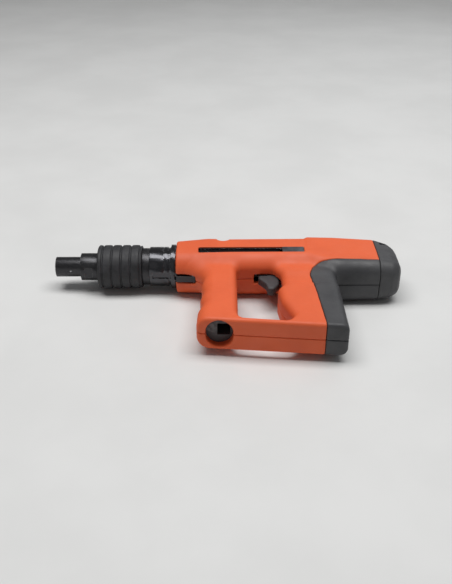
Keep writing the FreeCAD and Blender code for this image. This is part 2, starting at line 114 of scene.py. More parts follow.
def outline_distance(x, y, corners):
    """Signed distance in the side view to a closed outline, negative inside."""
    x, y = np.broadcast_arrays(x, y)
    loop = arc_outline(corners)
    best = np.full(x.shape, 1e9)
    inside = np.zeros(x.shape, bool)
    for (ax, ay), (bx, by) in zip(loop, np.roll(loop, -1, axis=0)):
        ex, ey = bx - ax, by - ay
        along = np.clip(((x - ax) * ex + (y - ay) * ey) / max(ex * ex + ey * ey, 1e-12), 0, 1)
        best = np.minimum(best, (x - ax - along * ex) ** 2 + (y - ay - along * ey) ** 2)
        if ay != by:
            inside ^= ((ay > y) != (by > y)) & (x < ax + (y - ay) / (by - ay) * ex)
    return np.where(inside, -1.0, 1.0) * np.sqrt(best)


def box_distance(x, y, z, low, high, radius=0.0):
    """Signed distance to a block with rounded edges."""
    gaps = []
    for value, a, b in zip((x, y, z), low, high):
        gaps.append(np.abs(value - (a + b) / 2) - (b - a) / 2 + radius)
    outside = np.sqrt(sum(np.maximum(gap, 0) ** 2 for gap in gaps))
    return outside + np.minimum(np.maximum(np.maximum(gaps[0], gaps[1]), gaps[2]), 0) - radius


def smooth_max(a, b, width):
    """The larger of two distances, their meeting rounded over that width."""
    mix = np.maximum(width - np.abs(a - b), 0) / width
    return np.maximum(a, b) + mix * mix * width / 4


def smooth_min(a, b, width):
    return -smooth_max(-a, -b, width)


def smooth_step(value):
    value = np.clip(value, 0, 1)
    return value * value * (3 - 2 * value)


def rounded_plate(side, z, half, radius):
    """A side outline's distance made into a plate of that half thickness with rounded edges."""
    inward = side + radius
    out = np.abs(z) - half + radius
    corner = np.hypot(np.maximum(inward, 0), np.maximum(out, 0))
    return corner + np.minimum(np.maximum(inward, out), 0) - radius


# ---------------------------------------------------------------- meshes

def grid(low, high, step):
    """Sample places along each axis, shaped so that they spread over a block."""
    x, y, z = (np.arange(a, b + step, step) for a, b in zip(low, high))
    return x[:, None, None], y[None, :, None], z[None, None, :]


def mesh_object(name, points, faces):
    """An object of quads from points in metres and rows of four indices."""
    mesh = bpy.data.meshes.new(name)
    mesh.vertices.add(len(points))
    mesh.vertices.foreach_set("co", np.asarray(points, np.float32).ravel())
    mesh.loops.add(4 * len(faces))
    mesh.loops.foreach_set("vertex_index", np.asarray(faces, np.int32).ravel())
    mesh.polygons.add(len(faces))
    mesh.polygons.foreach_set("loop_start", np.arange(0, 4 * len(faces), 4, dtype=np.int32))
    mesh.update(calc_edges=True)
    mesh.polygons.foreach_set("use_smooth", np.ones(len(faces), bool))
    mesh.validate()
    piece = bpy.data.objects.new(name, mesh)
    bpy.context.scene.collection.objects.link(piece)
    return piece


def skin(name, field, low, step, mirror=False):
    """Quads over the surface where a sampled distance is zero: one point in each cell that it
    crosses, and one quad round each grid edge that it crosses."""
    cells = np.array(field.shape) - 1
    strides = np.array((cells[1] * cells[2], cells[2], 1))
    total = np.zeros((cells.prod(), 3))
    hits = np.zeros(cells.prod())
    quads = []
    for axis in range(3):
        others = [k for k in range(3) if k != axis]
        turned = np.moveaxis(field, axis, 0)
        near, far = turned[:-1, 1:-1, 1:-1], turned[1:, 1:-1, 1:-1]
        spots = np.argwhere((near < 0) != (far < 0))
        a, b = near[tuple(spots.T)], far[tuple(spots.T)]
        index = np.empty_like(spots)
        index[:, axis] = spots[:, 0]
        index[:, others[0]] = spots[:, 1] + 1
        index[:, others[1]] = spots[:, 2] + 1
        place = index.astype(float)
        place[:, axis] += a / (a - b)
        ring = []
        for first, second in ((0, 0), (-1, 0), (-1, -1), (0, -1)):
            cell = index.copy()
            cell[:, others[0]] += first
            cell[:, others[1]] += second
            ring.append(cell @ strides)
            hits += np.bincount(ring[-1], minlength=len(hits))
            for k in range(3):
                total[:, k] += np.bincount(ring[-1], place[:, k], minlength=len(hits))
        ring = np.stack(ring, axis=1)
        turn_over = ((a > 0) != (axis == 1)) != mirror
        ring[turn_over] = ring[turn_over][:, ::-1]
        quads.append(ring)
    used = hits > 0
    number = np.cumsum(used) - 1
    points = (total[used] / hits[used][:, None] * step + np.array(low)) * MM
    if mirror:
        points[:, 2] *= -1
    return mesh_object(name, points, number[np.concatenate(quads)])


def lathe(name, profile, segments=144):
    """A closed ring about the bore axis from (x, radius) points that run round its section."""
    profile = np.array(profile, float)
    angles = np.arange(segments) * 2 * math.pi / segments
    points = []
    for x, radius in profile:
        ring = (np.full(segments, x), radius * np.cos(angles), radius * np.sin(angles))
        points.append(np.stack(ring, axis=1))
    rows = np.arange(len(profile) * segments).reshape(len(profile), segments)
    below, after = np.roll(rows, -1, axis=0), np.roll(rows, -1, axis=1)
    faces = np.stack((rows, after, np.roll(below, -1, axis=1), below), axis=2).reshape(-1, 4)
    return mesh_object(name, np.concatenate(points) * MM, faces)


def coil(name, start, end, radius, wire, turns, sides=10, per_turn=40):
    """A coil spring whose axis runs from start to end; its outermost turns lie almost flat."""
    start, end = np.array(start, float), np.array(end, float)
    length = np.linalg.norm(end - start)
    axis = (end - start) / length
    across = np.cross(axis, (0.0, 0.0, 1.0) if abs(axis[2]) < 0.9 else (0.0, 1.0, 0.0))
    across /= np.linalg.norm(across)
    third = np.cross(axis, across)
    count = int(turns * per_turn)
    share = np.linspace(0, 1, count + 1)
    angle = share * turns * 2 * math.pi
    flat_turn = min(0.8 / turns, 0.4)
    rise = smooth_step(share / flat_turn) * share
    rise = np.where(share > 0.5, 1 - (smooth_step((1 - share) / flat_turn) * (1 - share)), rise)
    along = wire + (length - 2 * wire) * rise
    outward = np.outer(np.cos(angle), across) + np.outer(np.sin(angle), third)
    centre = start + np.outer(along, axis) + outward * radius
    points = []
    for k in range(sides):
        turn = 2 * math.pi * k / sides
        points.append(centre + wire * (math.cos(turn) * outward + math.sin(turn) * axis))
    points = np.stack(points, axis=1).reshape(-1, 3)
    rows = np.arange((count + 1) * sides).reshape(count + 1, sides)
    after = np.roll(rows, -1, axis=1)
    faces = np.stack((rows[:-1], rows[1:], after[1:], after[:-1]), axis=2).reshape(-1, 4)
    caps = []
    for row in (rows[0], rows[-1][::-1]):
        for k in range(1, sides // 2):
            caps.append((row[k - 1], row[k], row[sides - k - 1], row[sides - k]))
    return mesh_object(name, points * MM, np.concatenate((faces, np.array(caps))))


# ---------------------------------------------------------------- materials

def new_material(name):
    """A material with its node tree, its shader and the object's own coordinates."""
    material = bpy.data.materials.new(name)
    material.use_nodes = True
    tree = material.node_tree
    place = tree.nodes.new("ShaderNodeTexCoord")
    return material, tree, tree.nodes["Principled BSDF"], place.outputs["Object"]


def noise(tree, where, scale, detail=3.0, roughness=0.55, stretch=None):
    """Noise of that many cells to the metre, stretched along an axis where asked."""
    if stretch:
        mapping = tree.nodes.new("ShaderNodeMapping")
        mapping.inputs["Scale"].default_value = stretch
        tree.links.new(where, mapping.inputs["Vector"])
        where = mapping.outputs["Vector"]
    node = tree.nodes.new("ShaderNodeTexNoise")
    node.inputs["Scale"].default_value = scale
    node.inputs["Detail"].default_value = detail
    node.inputs["Roughness"].default_value = roughness
    tree.links.new(where, node.inputs["Vector"])
    return node.outputs["Fac"]


def ramp(tree, value, low, high, low_out=0.0, high_out=1.0):
    """Turns a value from low to high into one from low_out to high_out."""
    node = tree.nodes.new("ShaderNodeMapRange")
    node.interpolation_type = "SMOOTHSTEP"
    limits = {"From Min": low, "From Max": high, "To Min": low_out, "To Max": high_out}
    for socket, number in limits.items():
        node.inputs[socket].default_value = number
    tree.links.new(value, node.inputs["Value"])
    return node.outputs["Result"]


def mix(tree, share, first, second):
    """A colour between two, each a triple or a socket."""
    node = tree.nodes.new("ShaderNodeMix")
    node.data_type = "RGBA"
    tree.links.new(share, node.inputs["Factor"])
    for socket, colour in ((node.inputs[6], first), (node.inputs[7], second)):
        if isinstance(colour, tuple):
            socket.default_value = (*colour, 1)
        else:
            tree.links.new(colour, socket)
    return node.outputs[2]


def maths(tree, kind, first, second):
    """A sum worked out by the shader from numbers or sockets."""
    node = tree.nodes.new("ShaderNodeMath")
    node.operation = kind
    for socket, value in zip(node.inputs, (first, second)):
        if isinstance(value, (int, float)):
            socket.default_value = value
        else:
            tree.links.new(value, socket)
    return node.outputs[0]


def edges(tree, low=0.53, high=0.6):
    """1 on the convex edges of a finely meshed piece."""
    node = tree.nodes.new("ShaderNodeNewGeometry")
    return ramp(tree, node.outputs["Pointiness"], low, high)


def sharp_edges(tree, radius=0.5):
    """1 beside the sharp edges of a coarsely meshed piece, within that many millimetres."""
    soft = tree.nodes.new("ShaderNodeBevel")
    soft.samples = 4
    soft.inputs["Radius"].default_value = radius * MM
    surface = tree.nodes.new("ShaderNodeNewGeometry")
    dot = tree.nodes.new("ShaderNodeVectorMath")
    dot.operation = "DOT_PRODUCT"
    tree.links.new(soft.outputs["Normal"], dot.inputs[0])
    tree.links.new(surface.outputs["Normal"], dot.inputs[1])
    return ramp(tree, dot.outputs["Value"], 0.86, 0.985, 1.0, 0.0)


def crevice_shade(tree, low=0.4, high=0.47):
    """1 in concave corners."""
    node = tree.nodes.new("ShaderNodeNewGeometry")
    return ramp(tree, node.outputs["Pointiness"], low, high, 1.0, 0.0)


def bump(tree, height, strength, distance, onto=None):
    node = tree.nodes.new("ShaderNodeBump")
    node.inputs["Strength"].default_value = strength
    node.inputs["Distance"].default_value = distance
    tree.links.new(height, node.inputs["Height"])
    if onto is not None:
        tree.links.new(onto, node.inputs["Normal"])
    return node.outputs["Normal"]


def orange_plastic():
    """Glass-filled nylon with a moulded grain, scuffs, and painted shade in its concave corners."""
    material, tree, shader, where = new_material("orange_plastic")
    broad = noise(tree, where, 22, 4)
    colour = mix(tree, ramp(tree, broad, 0.35, 0.65), (0.76, 0.124, 0.036), (0.71, 0.111, 0.031))
    speckle = ramp(tree, noise(tree, where, 900, 2), 0.62, 0.74)
    colour = mix(tree, maths(tree, "MULTIPLY", speckle, 0.25), colour, (0.54, 0.10, 0.03))
    scuffs = ramp(tree, noise(tree, where, 160, 5, 0.7, (0.25, 1.0, 1.0)), 0.64, 0.74)
    patches = ramp(tree, noise(tree, where, 30, 2), 0.5, 0.68)
    scuffed = maths(tree, "MULTIPLY", scuffs, patches)
    colour = mix(tree, maths(tree, "MULTIPLY", scuffed, 0.45), colour, (0.74, 0.24, 0.14))
    worn = maths(tree, "MULTIPLY", edges(tree), ramp(tree, noise(tree, where, 300, 4), 0.4, 0.65))
    colour = mix(tree, maths(tree, "MULTIPLY", worn, 0.5), colour, (0.78, 0.24, 0.13))
    # Painted shade: concave corners are darkened as if occluded.
    colour = mix(tree, maths(tree, "MULTIPLY", crevice_shade(tree), 0.55), colour, (0.25, 0.025, 0.008))
    tree.links.new(colour, shader.inputs["Base Color"])
    rough = ramp(tree, noise(tree, where, 60, 5), 0.3, 0.7, 0.52, 0.64)
    rough = maths(tree, "ADD", rough, maths(tree, "MULTIPLY", scuffed, 0.2))
    tree.links.new(rough, shader.inputs["Roughness"])
    shader.inputs["Subsurface Weight"].default_value = 0.04
    shader.inputs["Subsurface Radius"].default_value = (1.0, 0.3, 0.1)
    shader.inputs["Subsurface Scale"].default_value = 0.002
    grain = bump(tree, noise(tree, where, 1500, 3), 0.22, 0.00025)
    tree.links.new(bump(tree, noise(tree, where, 45, 2), 0.05, 0.001, grain), shader.inputs["Normal"])
    return material


def black_plastic():
    """The same nylon in black, with a coarser leather-like grain and grey rubbed edges."""
    material, tree, shader, where = new_material("black_plastic")
    broad = ramp(tree, noise(tree, where, 26, 4), 0.35, 0.65)
    colour = mix(tree, broad, (0.042, 0.042, 0.045), (0.060, 0.060, 0.063))
    dust = ramp(tree, noise(tree, where, 420, 4, 0.7), 0.58, 0.78)
    colour = mix(tree, maths(tree, "MULTIPLY", dust, 0.35), colour, (0.09, 0.09, 0.09))
    worn = maths(tree, "MULTIPLY", edges(tree), ramp(tree, noise(tree, where, 260, 4), 0.4, 0.66))
    colour = mix(tree, maths(tree, "MULTIPLY", worn, 0.6), colour, (0.20, 0.20, 0.20))
    tree.links.new(colour, shader.inputs["Base Color"])
    rough = ramp(tree, noise(tree, where, 90, 4), 0.3, 0.7, 0.42, 0.58)
    tree.links.new(rough, shader.inputs["Roughness"])
    cells = tree.nodes.new("ShaderNodeTexVoronoi")
    cells.inputs["Scale"].default_value = 1100
    tree.links.new(where, cells.inputs["Vector"])
    tree.links.new(bump(tree, cells.outputs["Distance"], 0.3, 0.0003), shader.inputs["Normal"])
    return material


def black_rubber():
    """Dusty moulded rubber whose ribs are rubbed grey along their crests."""
    material, tree, shader, where = new_material("black_rubber")
    dust = ramp(tree, noise(tree, where, 120, 6, 0.7), 0.35, 0.75)
    colour = mix(tree, dust, (0.014, 0.014, 0.016), (0.042, 0.042, 0.046))
    grazed = ramp(tree, noise(tree, where, 500, 4), 0.35, 0.7)
    rubbed = maths(tree, "MULTIPLY", edges(tree, 0.51, 0.58), grazed)
    colour = mix(tree, maths(tree, "MULTIPLY", rubbed, 0.7), colour, (0.12, 0.12, 0.125))
    tree.links.new(colour, shader.inputs["Base Color"])
    tree.links.new(ramp(tree, dust, 0, 1, 0.55, 0.8), shader.inputs["Roughness"])
    tree.links.new(bump(tree, noise(tree, where, 2600, 2), 0.25, 0.0002), shader.inputs["Normal"])
    return material


def polished_black():
    """Polished, blackened tube with bright lengthways rub marks."""
    material, tree, shader, where = new_material("polished_black")
    streaks = ramp(tree, noise(tree, where, 900, 4, 0.6, (0.10, 1.0, 1.0)), 0.62, 0.74)
    patches = ramp(tree, noise(tree, where, 55, 3), 0.56, 0.68)
    rubbed = maths(tree, "MULTIPLY", streaks, patches)
    worn = maths(tree, "MULTIPLY", sharp_edges(tree), ramp(tree, noise(tree, where, 350, 3), 0.4, 0.6))
    bright = maths(tree, "MULTIPLY", rubbed, 0.5)
    bright = maths(tree, "MAXIMUM", bright, maths(tree, "MULTIPLY", worn, 0.8))
    colour = mix(tree, bright, (0.060, 0.060, 0.066), (0.45, 0.46, 0.48))
    tree.links.new(colour, shader.inputs["Base Color"])
    shader.inputs["Metallic"].default_value = 0.9
    tree.links.new(ramp(tree, noise(tree, where, 300, 4, 0.6, (0.3, 1, 1)), 0.3, 0.7, 0.19, 0.25),
                   shader.inputs["Roughness"])
    shader.inputs["Coat Weight"].default_value = 0.35
    shader.inputs["Coat Roughness"].default_value = 0.08
    lines = noise(tree, where, 2200, 2, 0.5, (1.0, 0.04, 0.04))
    tree.links.new(bump(tree, lines, 0.04, 0.0001), shader.inputs["Normal"])
    return material


def blued_steel():
    """Phosphated steel: dull, mottled and rubbed bright on its edges."""
    material, tree, shader, where = new_material("blued_steel")
    mottle = ramp(tree, noise(tree, where, 500, 5, 0.6), 0.3, 0.75)
    colour = mix(tree, mottle, (0.046, 0.046, 0.050), (0.062, 0.061, 0.063))
    scratch = ramp(tree, noise(tree, where, 1100, 3, 0.6, (0.12, 1.0, 1.0)), 0.66, 0.76)
    patches = ramp(tree, noise(tree, where, 500, 4), 0.35, 0.62)
    worn = maths(tree, "MULTIPLY", sharp_edges(tree), patches)
    bright = maths(tree, "MAXIMUM", worn, maths(tree, "MULTIPLY", scratch, 0.25))
    tree.links.new(mix(tree, bright, colour, (0.30, 0.30, 0.31)), shader.inputs["Base Color"])
    shader.inputs["Metallic"].default_value = 0.8
    tree.links.new(ramp(tree, mottle, 0, 1, 0.30, 0.42), shader.inputs["Roughness"])
    tree.links.new(bump(tree, noise(tree, where, 1800, 3), 0.15, 0.00015), shader.inputs["Normal"])
    return material


def turned_metal(name, light, dark, rough, cells, stretch):
    """Machined metal with tool marks one way and a faint uneven tone."""
    material, tree, shader, where = new_material(name)
    tone = ramp(tree, noise(tree, where, 90, 4), 0.3, 0.7)
    smear = ramp(tree, noise(tree, where, 300, 5, 0.7), 0.6, 0.8)
    colour = mix(tree, tone, light, dark)
    colour = mix(tree, maths(tree, "MULTIPLY", smear, 0.6), colour, tuple(c * 0.4 for c in dark))
    tree.links.new(colour, shader.inputs["Base Color"])
    shader.inputs["Metallic"].default_value = 1.0
    marks = noise(tree, where, cells, 3, 0.6, stretch)
    tree.links.new(ramp(tree, marks, 0.3, 0.7, rough * 0.8, rough * 1.3), shader.inputs["Roughness"])
    tree.links.new(bump(tree, marks, 0.18, 0.00012), shader.inputs["Normal"])
    return material


ROUND_BORE, ALONG_BORE, EVEN = (1.0, 0.06, 0.06), (0.1, 1.0, 1.0), (1, 1, 1)   # run of the tool marks
MATERIALS = {
    "orange_plastic": orange_plastic(),
    "black_plastic": black_plastic(),
    "black_rubber": black_rubber(),
    "polished_black": polished_black(),
    "blued_steel": blued_steel(),
    "bright_steel": turned_metal(
        "bright_steel", (0.66, 0.66, 0.67), (0.46, 0.46, 0.48), 0.26, 1400, ROUND_BORE),
    "rubbed_steel": turned_metal(
        "rubbed_steel", (0.22, 0.22, 0.23), (0.10, 0.10, 0.11), 0.34, 1400, ALONG_BORE),
    "zinc_screw": turned_metal(
        "zinc_screw", (0.30, 0.30, 0.31), (0.16, 0.16, 0.17), 0.38, 1600, (1, 1, 0.2)),
    "spring_steel": turned_metal(
        "spring_steel", (0.34, 0.34, 0.36), (0.20, 0.20, 0.22), 0.30, 1200, EVEN),
}
SLOTS = {part["node"]: part["material_slot"] for part in frame["record"]["subparts"]}


def finish_with(piece, slot):
    piece.data.materials.clear()
    piece.data.materials.append(MATERIALS[slot])


def stand_for(piece, body, *nodes):
    """Gives a piece the finish and the body of the CAD node that it replaces."""
    finish_with(piece, SLOTS[nodes[0]])
    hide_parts(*nodes)
    if body:
        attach(piece, body)
    return piece


# ---------------------------------------------------------------- housing

SECTIONS = (     # station, top, bottom, half thickness, corner radius of the casing round the barrel
    (124.0, 24.4, -26.0, 24.2, 19.5), (157.0, 28.5, -26.0, 24.2, 17.0),
    (181.0, 25.5, -26.0, 24.2, 15.0), (257.0, 25.5, -26.0, 24.2, 14.0),
    (259.0, 28.2, -26.5, 24.2, 14.0), (286.0, 26.8, -40.0, 24.2, 14.0),
    (327.5, 24.0, -40.0, 22.8, 14.0), (341.0, 17.5, -38.5, 20.5, 12.0),
    (347.5, 9.5, -35.0, 17.0, 9.0), (350.0, 2.0, -30.0, 13.0, 6.0),
)
PANEL_LINE, PANEL_STEP = -13.2, 0.4      # height where the flank steps, and by how much
PANEL_END, LOW_PANEL_START = 257.6, 262.0      # the panel above that line ends, the one below starts
FRONT_FACE, BUTT = SECTIONS[0][0], SECTIONS[-1][0]
CAP_SEAM = 327.5
SEAM_GAP = 0.12               # half the gap between two shells
SEAM_ROUND = 0.9
GRIP_HALF = 17.0              # half the thickness of the grips
GRIP_ROUND, FRONT_ROUND, BRIDGE_ROUND = 7.5, 12.0, 3.0
BRIDGE_FRONT, BRIDGE_REAR, BRIDGE_HEIGHT = 176.0, 246.0, 20.0
WAIST_DEPTH, WAIST_TOP, WAIST_END = 1.5, -38.0, -63.2      # thinner part of the main grip
BLEND = 5.0
FOOT_BLEND = 4.0
SHELL_STEP = 0.86
FOOT_FRONT, FOOT_REAR = (147.0, -124.0), (283.5, -137.9)
FINGER_GROOVES = [
    (150.6, -56, 12), (152.4, -69, 12), (149.6, -82, 12), (151.6, -92.5, 10), (147.8, -104, 10)]
BELOW_FOOT = -170.0           # the handle runs on this far: its foot is cut apart, with a firmer edge
HANDLE = [
    (136.0, -8, 0), (136.0, -25, 0), (153.6, -38, 14), *FINGER_GROOVES,
    (*FOOT_FRONT, 0), (FOOT_FRONT[0] - 0.6, BELOW_FOOT, 0), (FOOT_REAR[0], BELOW_FOOT, 0),
    (FOOT_REAR[0], -36, 7), (300.0, -36, 0), (300.0, -8, 0),
]
HAND_OPENING = [
    (185.0, -25.9, 7), (221.0, -25.9, 8), (229.0, -40, 14), (229.0, -62, 5), (223.5, -70, 10),
    (226.0, -92, 20), (238.5, -128.2, 8), (185.0, -121.8, 7),
]
DARK_REGION = [
    (264.5, -160, 0), (260.0, -79, 30), (256.8, -44, 12), (262.5, -27.0, 12), (400.0, -27.0, 0),
    (400.0, -160, 0),
]
HOLLOWS = (      # side outlines of the hollow grips, with the rounding of their edges
    ([(154.5, -10, 0), (181.5, -10, 0), (181.5, -112.2, 3), (154.5, -112.2, 3)], 9.5),
    ([(229, -72, 3), (279, -64, 3), (279.5, -133, 3), (243.5, -130, 3), (231.5, -94, 6)], 5.0),
    ([(241, -30, 2), (279, -30, 2), (279, -60, 2), (241, -60, 2)], 5.0),
)
WALL = 3.0
BORE_RADIUS = 21.9            # clears the receiver by 0.1
RECESS_RADIUS, RECESS_END = 22.7, 124.2      # room for the receiver's rim at the front face
STRIP_WAY = ((164.4, -120.0, -7.6), (179.6, -25.0, 7.6))
STRIP_EXIT = ((165.7, 0.0, -6.3), (178.3, 60.0, 6.3))
TRIGGER_SLOT = ((203.0, -58.0, -5.2), (237.0, -15.0, 5.2))
NOTCH_CENTRE, NOTCH_RADIUS = 141.2, 4.8      # rounded end of the catch's notch
NOTCH_TOP, NOTCH_FLOOR = -15.0, -30.0
SLOT_FRONT = 147.0
MOUTH_CENTRE, MOUTH_RADIUS, MOUTH_SHIFT, MOUTH_TOP = 168.0, 12.5, 1.9, -114.0
SCOOP = (172.0, 17.6, 6.0)    # centre and radius of the dip in the top
BOSS_RADIUS, HEAD_RADIUS, SHANK_RADIUS = 3.8, 3.3, 1.65
SINK_DEPTH, BLIND_END = 2.5, 12.3      # the heads' pockets, and the end of the holes in the left half
LUG_LOW, LUG_HIGH, LUG_PLAY = (CAP_SEAM - 4, -16, -10), (342, 13, 10), 0.3
CAP_SCREW = (336.5, 8.5)
CAP_SEAT = 16.4               # distance of the cap screws' seats from the middle plane


def casing_value(x, column):
    """One column of the sections along X, with its corners softened."""
    stations = [row[0] for row in SECTIONS]
    values = [row[column] for row in SECTIONS]
    shifts = np.linspace(-1.6, 1.6, 9)
    return sum(np.interp(x + shift, stations, values) for shift in shifts) / len(shifts)


def casing_distance(x, y, z):
    """The housing round the barrel, with its stepped flanks."""
    top, bottom, half, radius = (casing_value(x, column) for column in (1, 2, 3, 4))
    above = smooth_step((y - PANEL_LINE) / 0.9) * smooth_step((PANEL_END - x) / 0.9)
    below = smooth_step((PANEL_LINE - 2.5 - y) / 2.5) * smooth_step((x - LOW_PANEL_START) / 12)
    half = half - PANEL_STEP * np.maximum(above, below)
    up = np.abs(y - (top + bottom) / 2) - (top - bottom) / 2 + radius
    out = np.abs(z) - half + radius
    across = np.hypot(np.maximum(up, 0), np.maximum(out, 0)) - radius
    across = across + np.minimum(np.maximum(up, out), 0)
    ends = np.maximum(FRONT_FACE - x, x - BUTT)
    return smooth_max(across, ends + 0 * across, 2.4)


def grip_distance(x, y, z):
    """Fore grip, bridge and main grip: soft edges above, firmer ones at the foot."""
    side = np.maximum(outline_distance(x, y, HANDLE), -outline_distance(x, y, HAND_OPENING))
    fall = (FOOT_REAR[1] - FOOT_FRONT[1]) / (FOOT_REAR[0] - FOOT_FRONT[0])
    above_foot = (y - FOOT_FRONT[1] - (x - FOOT_FRONT[0]) * fall) / math.hypot(1, fall)
    between = smooth_step((x - BRIDGE_FRONT) / 10) * smooth_step((BRIDGE_REAR - x) / 10)
    on_bridge = smooth_step((BRIDGE_HEIGHT - above_foot) / 12) * between
    radius = GRIP_ROUND + (FRONT_ROUND - GRIP_ROUND) * smooth_step((172 - x) / 14)
    radius = radius + (BRIDGE_ROUND - GRIP_ROUND) * on_bridge
    waist = smooth_step((y - WAIST_END) / 2.2) * smooth_step((x - 222) / 6)
    half = GRIP_HALF - WAIST_DEPTH * waist * smooth_step((WAIST_TOP - y) / 12)
    return smooth_max(rounded_plate(side, z, half, radius), -above_foot + 0 * z, FOOT_BLEND)


def tube_distance(x, y, z, radius, front, back):
    """A cylinder about the bore axis."""
    return np.maximum(np.hypot(y, z) - radius, np.maximum(front - x, x - back) + 0 * y)


def post_distance(x, y, at, radius):
    """An endless cylinder along Z."""
    return np.hypot(x - at[0], y - at[1]) - radius


def screw_places():
    """Centre and outer face of each housing screw, read from its CAD node."""
    mesh = NODES["housing_screws"].data
    points = np.array([v.co for v in mesh.vertices]) / MM
    places = []
    while len(points):
        near = np.hypot(points[:, 0] - points[0, 0], points[:, 1] - points[0, 1]) < 3 * HEAD_RADIUS
        group = points[near]
        middle = (group.min(axis=0) + group.max(axis=0)) / 2
        places.append((middle[:2], group[:, 2].min()))
        points = points[~near]
    return places


SCREWS = screw_places()


def hollow_distance(x, y, z):
    """Everything hollow inside the housing, less the columns that take the screws."""
    rear_pad = span("rear_buffer")[1][0]
    receiver_back = span("receiver_sleeve")[1][0]
    ahead = FRONT_FACE - 24
    hollow = tube_distance(x, y, z, BORE_RADIUS, ahead, receiver_back)
    hollow = np.minimum(hollow, tube_distance(x, y, z, RECESS_RADIUS, ahead, RECESS_END))
    blocks = (
        ((receiver_back, -22, -17), (rear_pad, 17, 17)),
        ((rear_pad + WALL, -22, -17), (325.0, 17, 17)),
        ((290.0, -35, -17), (325.0, -22, 17)),
    )
    for low, high in blocks:
        hollow = np.minimum(hollow, box_distance(x, y, z, low, high))
    for outline, radius in HOLLOWS:
        plate = rounded_plate(outline_distance(x, y, outline), z, GRIP_HALF - WALL, radius)
        hollow = np.minimum(hollow, plate)
    for at, _ in SCREWS:
        hollow = np.maximum(hollow, -post_distance(x, y, at, BOSS_RADIUS))
    return hollow


def openings_distance(x, y, z):
    """Openings that both shells share."""
    mouth = np.hypot(x - MOUTH_CENTRE, np.maximum(np.abs(z) - MOUTH_SHIFT, 0)) - MOUTH_RADIUS
    found = np.maximum(mouth, y - MOUTH_TOP)
    notch = np.hypot(np.maximum(x - NOTCH_CENTRE, 0), z) - NOTCH_RADIUS
    found = np.minimum(found, np.maximum(notch, np.maximum(NOTCH_FLOOR - y, y - NOTCH_TOP)))
    found = np.minimum(found, box_distance(x, y, z, *STRIP_EXIT, 0.5))
    found = np.minimum(found, np.hypot(x - SCOOP[0], np.minimum(y - SCOOP[1], 0)) - SCOOP[2])
    found = np.minimum(found, box_distance(x, y, z, *STRIP_WAY))
    return np.minimum(found, box_distance(x, y, z, *TRIGGER_SLOT, 0.8))


def half_shells():
    """Both orange and both black shells. The field covers the left half; the right one mirrors it."""
    low, high = span("housing_left")
    rear_low, rear_high = span("backstrap_left")
    low = np.minimum(low, rear_low) - 3 * SHELL_STEP
    high = np.maximum(high, rear_high) + 3 * SHELL_STEP
    high[0] = CAP_SEAM + 16
    low[2] = -2.5 * SHELL_STEP
    x, y, z = grid(low, high, SHELL_STEP)
    outer = smooth_min(casing_distance(x, y, z), grip_distance(x, y, z), BLEND)
    hollow = hollow_distance(x, y, z)
    shared = openings_distance(x, y, z)
    dark = outline_distance(x, y, DARK_REGION)
    guide_low, guide_high = span("slot_guide")
    slot_low, slot_high = (SLOT_FRONT, guide_low[1], 10), (guide_high[0], guide_high[1], 40)
    slot = box_distance(x, y, z, slot_low, slot_high, 1.3)
    sinks = np.minimum.reduce([
        np.maximum(post_distance(x, y, at, HEAD_RADIUS), -face - SINK_DEPTH - z)
        for at, face in SCREWS])
    holes = np.minimum.reduce([post_distance(x, y, at, SHANK_RADIUS) for at, _ in SCREWS])
    lug = box_distance(x, y, z, LUG_LOW, LUG_HIGH, 0.6)
    lug = np.maximum(lug, -post_distance(x, y, CAP_SCREW, SHANK_RADIUS))
    for side in ("left", "right"):
        for colour, region in (("housing", SEAM_GAP - dark), ("backstrap", dark + SEAM_GAP)):
            form = smooth_max(outer, region + 0 * outer, SEAM_ROUND)
            form = smooth_max(form, x - CAP_SEAM + SEAM_GAP + 0 * outer, SEAM_ROUND)
            form = smooth_max(form, SEAM_GAP / 2 - z + 0 * outer, SEAM_ROUND)
            form = np.maximum(form, -hollow)
            form = smooth_max(form, -shared, 1.2)
            if side == "left":
                form = smooth_max(form, -slot, 1.6)
                form = np.maximum(form, -np.maximum(holes, z - BLIND_END))
            else:
                form = smooth_max(form, -sinks, 0.9)
                form = np.maximum(form, -holes)
            if colour == "housing":
                form = np.minimum(form, np.maximum(lug, SEAM_GAP / 2 - z))
            node = f"{colour}_{side}"
            shell = skin(f"{node}_shell", form, low, SHELL_STEP, mirror=side == "right")
            stand_for(shell, "housing", node)


def butt_cap():
    """The black cap that closes the back, with a screw at each side."""
    step = 0.7
    low, high = span("butt_cap")
    low, high = low - 3 * step, high + 3 * step
    x, y, z = grid(low, high, step)
    form = casing_distance(x, y, z)
    form = smooth_max(form, CAP_SEAM + SEAM_GAP - x + 0 * form, SEAM_ROUND)
    pocket_low = (300, LUG_LOW[1] - LUG_PLAY, LUG_LOW[2] - LUG_PLAY)
    pocket = box_distance(x, y, z, pocket_low, [value + LUG_PLAY for value in LUG_HIGH], 0.6)
    form = np.maximum(form, -pocket)
    sink = np.maximum(post_distance(x, y, CAP_SCREW, HEAD_RADIUS), CAP_SEAT - np.abs(z))
    form = smooth_max(form, -sink, 0.9)
    form = np.maximum(form, -post_distance(x, y, CAP_SCREW, SHANK_RADIUS))
    stand_for(skin("butt_cap_shell", form, low, step), "housing", "butt_cap")


half_shells()
butt_cap()


# ---------------------------------------------------------------- rubber sleeve

GROOVE_COUNT, GROOVE_PITCH, FIRST_GROOVE = 5, 9.5, 5.0
GROOVE_DEPTH, GROOVE_WIDTH = 1.35, 0.85
CREST_HEIGHT, CREST_WIDTH = 0.12, 3.2
SLEEVE_EDGE = 1.6             # rounding of its two ends
SLEEVE_BORE = 16.2


